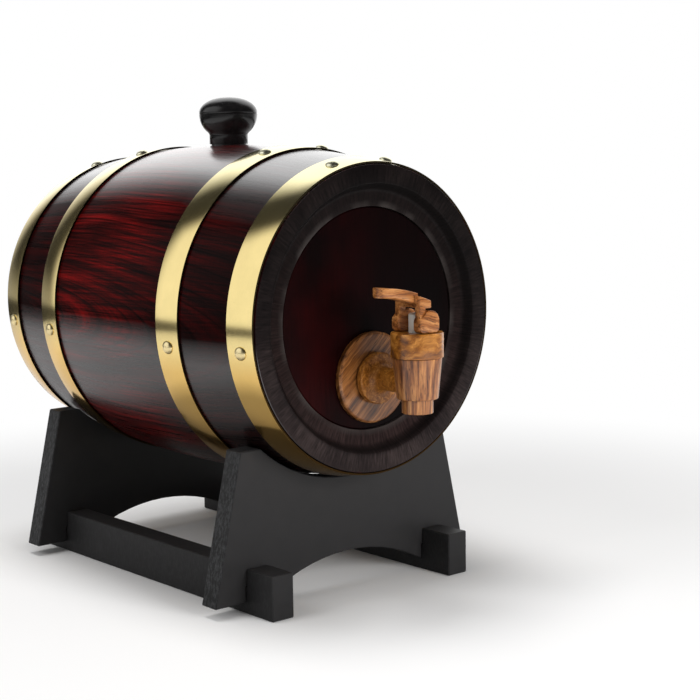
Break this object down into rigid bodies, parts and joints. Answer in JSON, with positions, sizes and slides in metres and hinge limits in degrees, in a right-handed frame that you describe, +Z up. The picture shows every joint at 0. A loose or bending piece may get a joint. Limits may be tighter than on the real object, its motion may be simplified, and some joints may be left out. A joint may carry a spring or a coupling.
{
  "type": "oak cask liquor dispenser",
  "caption": "Bulged wooden cask on a cradle stand, with brass hoops, a turned bung and a spring-loaded lever tap in its front head.",
  "frame": {"origin": "on the floor, in the middle of the whole object's footprint (centre of the bounding box's underside)", "axes": "+Z up; -Y out of the front head, towards the tap; +X to the right for someone who faces the tap"},
  "size_m": [0.2062, 0.3224, 0.3021],
  "materials": {
    "cask_wood": "dark cherry stain under gloss lacquer",
    "head_wood": "darker stain under lacquer",
    "hoop_brass": "polished, pale",
    "stand_wood": "black satin paint",
    "bung_wood": "black gloss lacquer",
    "tap_plastic": "printed with a striped wood grain",
    "stem_plastic": "moulded, off-white",
    "seal_rubber": "moulded",
    "steel": "bright wire"
  },
  "bodies": {
    "stand": {"stand_panel_front": "stand_wood", "stand_panel_rear": "stand_wood", "stand_rail_left": "stand_wood", "stand_rail_right": "stand_wood"},
    "cask": {"stave_01": "cask_wood", "stave_02": "cask_wood", "stave_03": "cask_wood", "stave_04": "cask_wood", "stave_05": "cask_wood", "stave_06": "cask_wood", "stave_07": "cask_wood", "stave_08": "cask_wood", "stave_09": "cask_wood", "stave_10": "cask_wood", "stave_11": "cask_wood", "stave_12": "cask_wood", "stave_13": "cask_wood", "stave_14": "cask_wood", "stave_15": "cask_wood", "stave_16": "cask_wood", "head_front": "head_wood", "head_rear": "head_wood", "hoop_front_end": "hoop_brass", "hoop_front_body": "hoop_brass", "hoop_rear_body": "hoop_brass", "hoop_rear_end": "hoop_brass", "tap_rosette": "tap_plastic", "tap_gasket_outer": "seal_rubber", "tap_gasket_inner": "seal_rubber", "tap_nut": "tap_plastic", "tap_body": "tap_plastic", "tap_cap": "tap_plastic", "tap_boot": "seal_rubber", "tap_spring": "steel"},
    "bung": {"bung": "bung_wood"},
    "stem": {"tap_stem": "stem_plastic"},
    "lever": {"tap_lever": "tap_plastic", "tap_pin": "tap_plastic"}
  },
  "joints": [
    {"name": "cask_lift", "type": "slide", "parent": "stand", "child": "cask", "axis": [0, 0, 1], "range_m": [0, 0.05]},
    {"name": "bung_pull", "type": "slide", "parent": "cask", "child": "bung", "axis": [0, 0, 1], "range_m": [0, 0.035]},
    {"name": "stem_slide", "type": "slide", "parent": "cask", "child": "stem", "axis": [0, 0, 1], "range_m": [0, 0.0024], "stiffness_N_per_m": 800, "springref_m": -0.004, "deforming": ["tap_spring", "tap_boot"]},
    {"name": "lever_hinge", "type": "hinge", "parent": "stem", "child": "lever", "pos_m": [0, -0.14598, 0.1707], "axis": [0, -1, 0], "range_deg": [0, 30]}
  ],
  "couplings": [
    {"joint": "lever_hinge", "follows": "stem_slide", "rad_per_m": 217.39}
  ]
}
